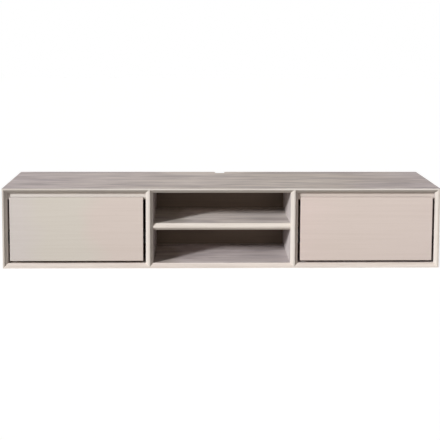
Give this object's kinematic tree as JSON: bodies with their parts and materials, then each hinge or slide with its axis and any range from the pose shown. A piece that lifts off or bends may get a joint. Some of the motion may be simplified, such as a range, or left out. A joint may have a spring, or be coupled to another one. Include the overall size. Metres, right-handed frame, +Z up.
{
  "type": "wall-hung tv unit",
  "caption": "Low wall-hung tv unit in whitewashed wood: bevelled mitred frame, open middle bay with a shelf, and a handle-less drawer at each side.",
  "frame": {"origin": "middle of the underside", "axes": "+X to the right along the unit's length, +Y to the wall behind it, +Z up"},
  "size_m": [1.6, 0.4, 0.295],
  "materials": {
    "frame_wood": "whitewashed, matt lacquer",
    "front_wood": "whitewashed, matt lacquer",
    "box_wood": "clear matt lacquer",
    "joint_wood": "plain birch plywood",
    "back_wood": "stained grey-brown, matt lacquer",
    "slide_steel": "black electro-coated",
    "cage_plastic": "moulded, matt",
    "screw_steel": "zinc plated",
    "pad_felt": "pressed felt"
  },
  "bodies": {
    "root": {"bottom_panel": "frame_wood", "divider_tongues": "joint_wood", "left_back_panel": "back_wood", "left_bumper_pads": "pad_felt", "left_cabinet_screws": "screw_steel", "left_divider": "frame_wood", "left_drawer_left_cabinet_member": "slide_steel", "left_drawer_right_cabinet_member": "slide_steel", "left_hanging_rail": "frame_wood", "left_rail_tongues": "joint_wood", "left_side": "frame_wood", "left_stop_rail": "frame_wood", "middle_back_panel": "back_wood", "middle_shelf": "frame_wood", "mitre_tongues": "joint_wood", "right_back_panel": "back_wood", "right_bumper_pads": "pad_felt", "right_cabinet_screws": "screw_steel", "right_divider": "frame_wood", "right_drawer_left_cabinet_member": "slide_steel", "right_drawer_right_cabinet_member": "slide_steel", "right_hanging_rail": "frame_wood", "right_rail_tongues": "joint_wood", "right_side": "frame_wood", "right_stop_rail": "frame_wood", "shelf_tongues": "joint_wood", "top_panel": "frame_wood"},
    "left_outer_cages": {"left_outer_ball_cages": "cage_plastic"},
    "left_runners": {"left_drawer_left_middle_member": "slide_steel", "left_drawer_right_middle_member": "slide_steel"},
    "left_inner_cages": {"left_inner_ball_cages": "cage_plastic"},
    "left_drawer": {"left_box_back": "box_wood", "left_box_bottom": "box_wood", "left_box_front": "box_wood", "left_box_left_side": "box_wood", "left_box_right_side": "box_wood", "left_drawer_front": "front_wood", "left_drawer_left_drawer_member": "slide_steel", "left_drawer_right_drawer_member": "slide_steel", "left_drawer_screws": "screw_steel", "left_front_screws": "screw_steel"},
    "right_outer_cages": {"right_outer_ball_cages": "cage_plastic"},
    "right_runners": {"right_drawer_left_middle_member": "slide_steel", "right_drawer_right_middle_member": "slide_steel"},
    "right_inner_cages": {"right_inner_ball_cages": "cage_plastic"},
    "right_drawer": {"right_box_back": "box_wood", "right_box_bottom": "box_wood", "right_box_front": "box_wood", "right_box_left_side": "box_wood", "right_box_right_side": "box_wood", "right_drawer_front": "front_wood", "right_drawer_left_drawer_member": "slide_steel", "right_drawer_right_drawer_member": "slide_steel", "right_drawer_screws": "screw_steel", "right_front_screws": "screw_steel"}
  },
  "joints": [
    {"name": "left_drawer_slide", "type": "slide", "parent": "root", "child": "left_drawer", "axis": [0, -1, 0], "range_m": [0, 0.35]},
    {"name": "left_runners_slide", "type": "slide", "parent": "root", "child": "left_runners", "axis": [0, -1, 0], "range_m": [0, 0.175]},
    {"name": "left_outer_cages_slide", "type": "slide", "parent": "root", "child": "left_outer_cages", "axis": [0, -1, 0], "range_m": [0, 0.0875]},
    {"name": "left_inner_cages_slide", "type": "slide", "parent": "root", "child": "left_inner_cages", "axis": [0, -1, 0], "range_m": [0, 0.2625]},
    {"name": "right_drawer_slide", "type": "slide", "parent": "root", "child": "right_drawer", "axis": [0, -1, 0], "range_m": [0, 0.35]},
    {"name": "right_runners_slide", "type": "slide", "parent": "root", "child": "right_runners", "axis": [0, -1, 0], "range_m": [0, 0.175]},
    {"name": "right_outer_cages_slide", "type": "slide", "parent": "root", "child": "right_outer_cages", "axis": [0, -1, 0], "range_m": [0, 0.0875]},
    {"name": "right_inner_cages_slide", "type": "slide", "parent": "root", "child": "right_inner_cages", "axis": [0, -1, 0], "range_m": [0, 0.2625]}
  ],
  "couplings": [
    {"joint": "left_runners_slide", "follows": "left_drawer_slide", "ratio": 0.5},
    {"joint": "left_outer_cages_slide", "follows": "left_drawer_slide", "ratio": 0.25},
    {"joint": "left_inner_cages_slide", "follows": "left_drawer_slide", "ratio": 0.75},
    {"joint": "right_runners_slide", "follows": "right_drawer_slide", "ratio": 0.5},
    {"joint": "right_outer_cages_slide", "follows": "right_drawer_slide", "ratio": 0.25},
    {"joint": "right_inner_cages_slide", "follows": "right_drawer_slide", "ratio": 0.75}
  ]
}
